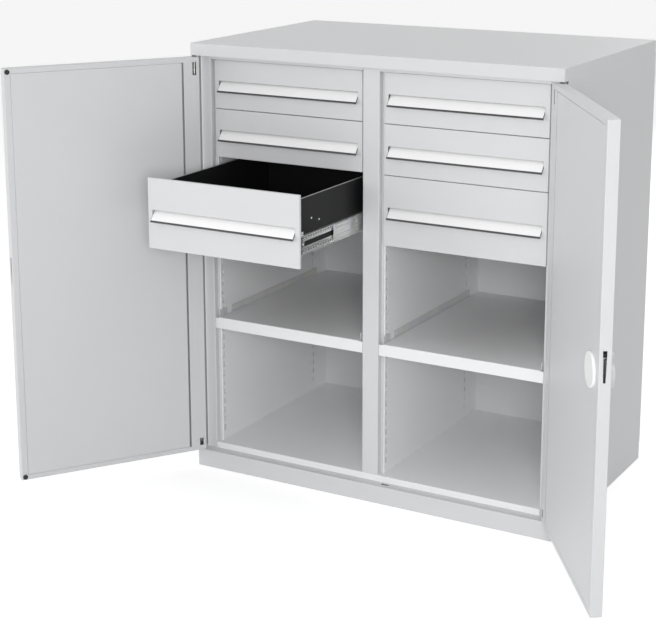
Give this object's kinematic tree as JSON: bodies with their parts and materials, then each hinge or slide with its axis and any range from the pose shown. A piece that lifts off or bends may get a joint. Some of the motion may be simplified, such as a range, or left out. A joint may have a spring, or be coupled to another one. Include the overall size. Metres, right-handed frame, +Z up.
{
  "type": "storage cabinet",
  "caption": "Steel two-door storage cabinet with a middle partition, drawers on ball slides over shelves, and a knob lock that drives rods and a latch.",
  "frame": {"origin": "on the floor under the middle of the carcass, at the centre of the plinth's cross-member", "axes": "+X to the right seen from the front, the doors open towards -Y, +Z up"},
  "size_m": [1.5447, 1.0317, 1.12],
  "materials": {
    "powder_coat": "fine satin powder coat, light grey",
    "drawer_black": "satin black coat",
    "zinc": "bright zinc plate",
    "handle_aluminium": "satin anodised",
    "white_plastic": "smooth satin",
    "knob_plastic": "smooth satin",
    "black_plastic": "matt",
    "steel": "turned and plated"
  },
  "bodies": {
    "cabinet": {"top_cap": "powder_coat", "plinth": "powder_coat", "left_side_panel": "powder_coat", "right_side_panel": "powder_coat", "back_panel": "powder_coat", "left_inner_wall": "powder_coat", "right_inner_wall": "powder_coat", "partition": "powder_coat", "base_panel": "powder_coat", "left_shelf": "powder_coat", "right_shelf": "powder_coat", "shelf_supports": "zinc", "hinge_bushes": "black_plastic", "cabinet_slide_rails": "zinc"},
    "left_door": {"left_door_skin": "powder_coat", "left_door_inner_panel": "powder_coat", "left_door_hinge_pins": "steel", "left_door_buffers": "black_plastic"},
    "right_door": {"right_door_skin": "powder_coat", "right_door_inner_panel": "powder_coat", "right_door_hinge_pins": "steel", "lock_case": "zinc", "lock_cover": "white_plastic", "lock_rosette": "knob_plastic"},
    "knob": {"lock_knob": "knob_plastic", "lock_cam": "steel"},
    "cylinder": {"key_cylinder": "steel"},
    "upper_rod": {"upper_lock_rod": "zinc"},
    "lower_rod": {"lower_lock_rod": "zinc"},
    "latch": {"latch_hook": "zinc"},
    "upper_left_drawer": {"upper_left_drawer_front": "powder_coat", "upper_left_drawer_handle": "handle_aluminium", "upper_left_drawer_box": "drawer_black", "upper_left_drawer_runners": "zinc"},
    "upper_left_slides": {"upper_left_middle_slides": "zinc"},
    "middle_left_drawer": {"middle_left_drawer_front": "powder_coat", "middle_left_drawer_handle": "handle_aluminium", "middle_left_drawer_box": "drawer_black", "middle_left_drawer_runners": "zinc"},
    "middle_left_slides": {"middle_left_middle_slides": "zinc"},
    "lower_left_drawer": {"lower_left_drawer_front": "powder_coat", "lower_left_drawer_handle": "handle_aluminium", "lower_left_drawer_box": "drawer_black", "lower_left_drawer_runners": "zinc"},
    "lower_left_slides": {"lower_left_middle_slides": "zinc"},
    "upper_right_drawer": {"upper_right_drawer_front": "powder_coat", "upper_right_drawer_handle": "handle_aluminium", "upper_right_drawer_box": "drawer_black", "upper_right_drawer_runners": "zinc"},
    "upper_right_slides": {"upper_right_middle_slides": "zinc"},
    "middle_right_drawer": {"middle_right_drawer_front": "powder_coat", "middle_right_drawer_handle": "handle_aluminium", "middle_right_drawer_box": "drawer_black", "middle_right_drawer_runners": "zinc"},
    "middle_right_slides": {"middle_right_middle_slides": "zinc"},
    "lower_right_drawer": {"lower_right_drawer_front": "powder_coat", "lower_right_drawer_handle": "handle_aluminium", "lower_right_drawer_box": "drawer_black", "lower_right_drawer_runners": "zinc"},
    "lower_right_slides": {"lower_right_middle_slides": "zinc"}
  },
  "joints": [
    {"name": "left_door_swing", "type": "hinge", "parent": "cabinet", "child": "left_door", "pos_m": [-0.4925, -0.3035, 0.565], "axis": [0, 0, -1], "range_deg": [-36, 56]},
    {"name": "right_door_swing", "type": "hinge", "parent": "cabinet", "child": "right_door", "pos_m": [0.4925, -0.3035, 0.565], "axis": [0, 0, 1], "range_deg": [-124, 56]},
    {"name": "knob_turn", "type": "hinge", "parent": "right_door", "child": "knob", "pos_m": [0.73918, -0.6576, 0.565], "axis": [-0.829, -0.5592, 0], "range_deg": [0, 90]},
    {"name": "key_turn", "type": "hinge", "parent": "knob", "child": "cylinder", "pos_m": [0.74747, -0.652, 0.565], "axis": [-0.829, -0.5592, 0], "range_deg": [0, 90]},
    {"name": "upper_rod_slide", "type": "slide", "parent": "right_door", "child": "upper_rod", "axis": [0, 0, 1], "range_m": [0, 0.0141]},
    {"name": "lower_rod_slide", "type": "slide", "parent": "right_door", "child": "lower_rod", "axis": [0, 0, -1], "range_m": [0, 0.0141]},
    {"name": "latch_swing", "type": "hinge", "parent": "right_door", "child": "latch", "pos_m": [0.74882, -0.69693, 0.6], "axis": [-0.829, -0.5592, 0], "range_deg": [0, 60.5]},
    {"name": "upper_left_drawer_slide", "type": "slide", "parent": "cabinet", "child": "upper_left_drawer", "axis": [0, -1, 0], "range_m": [0, 0.45]},
    {"name": "upper_left_middle_slide", "type": "slide", "parent": "cabinet", "child": "upper_left_slides", "axis": [0, -1, 0], "range_m": [-0.0001, 0.2251]},
    {"name": "middle_left_drawer_slide", "type": "slide", "parent": "cabinet", "child": "middle_left_drawer", "axis": [0, -1, 0], "range_m": [0, 0.45]},
    {"name": "middle_left_middle_slide", "type": "slide", "parent": "cabinet", "child": "middle_left_slides", "axis": [0, -1, 0], "range_m": [-0.0001, 0.2251]},
    {"name": "lower_left_drawer_slide", "type": "slide", "parent": "cabinet", "child": "lower_left_drawer", "axis": [0, -1, 0], "range_m": [-0.297, 0.153]},
    {"name": "lower_left_middle_slide", "type": "slide", "parent": "cabinet", "child": "lower_left_slides", "axis": [0, -1, 0], "range_m": [-0.1486, 0.0766]},
    {"name": "upper_right_drawer_slide", "type": "slide", "parent": "cabinet", "child": "upper_right_drawer", "axis": [0, -1, 0], "range_m": [0, 0.45]},
    {"name": "upper_right_middle_slide", "type": "slide", "parent": "cabinet", "child": "upper_right_slides", "axis": [0, -1, 0], "range_m": [-0.0001, 0.2251]},
    {"name": "middle_right_drawer_slide", "type": "slide", "parent": "cabinet", "child": "middle_right_drawer", "axis": [0, -1, 0], "range_m": [0, 0.45]},
    {"name": "middle_right_middle_slide", "type": "slide", "parent": "cabinet", "child": "middle_right_slides", "axis": [0, -1, 0], "range_m": [-0.0001, 0.2251]},
    {"name": "lower_right_drawer_slide", "type": "slide", "parent": "cabinet", "child": "lower_right_drawer", "axis": [0, -1, 0], "range_m": [0, 0.45]},
    {"name": "lower_right_middle_slide", "type": "slide", "parent": "cabinet", "child": "lower_right_slides", "axis": [0, -1, 0], "range_m": [-0.0001, 0.2251]}
  ],
  "couplings": [
    {"joint": "upper_rod_slide", "follows": "knob_turn", "m_per_rad": 0.0089131},
    {"joint": "lower_rod_slide", "follows": "knob_turn", "m_per_rad": 0.0089131},
    {"joint": "latch_swing", "follows": "knob_turn", "ratio": 0.6667},
    {"joint": "upper_left_middle_slide", "follows": "upper_left_drawer_slide", "ratio": 0.5},
    {"joint": "middle_left_middle_slide", "follows": "middle_left_drawer_slide", "ratio": 0.5},
    {"joint": "lower_left_middle_slide", "follows": "lower_left_drawer_slide", "ratio": 0.5},
    {"joint": "upper_right_middle_slide", "follows": "upper_right_drawer_slide", "ratio": 0.5},
    {"joint": "middle_right_middle_slide", "follows": "middle_right_drawer_slide", "ratio": 0.5},
    {"joint": "lower_right_middle_slide", "follows": "lower_right_drawer_slide", "ratio": 0.5}
  ]
}
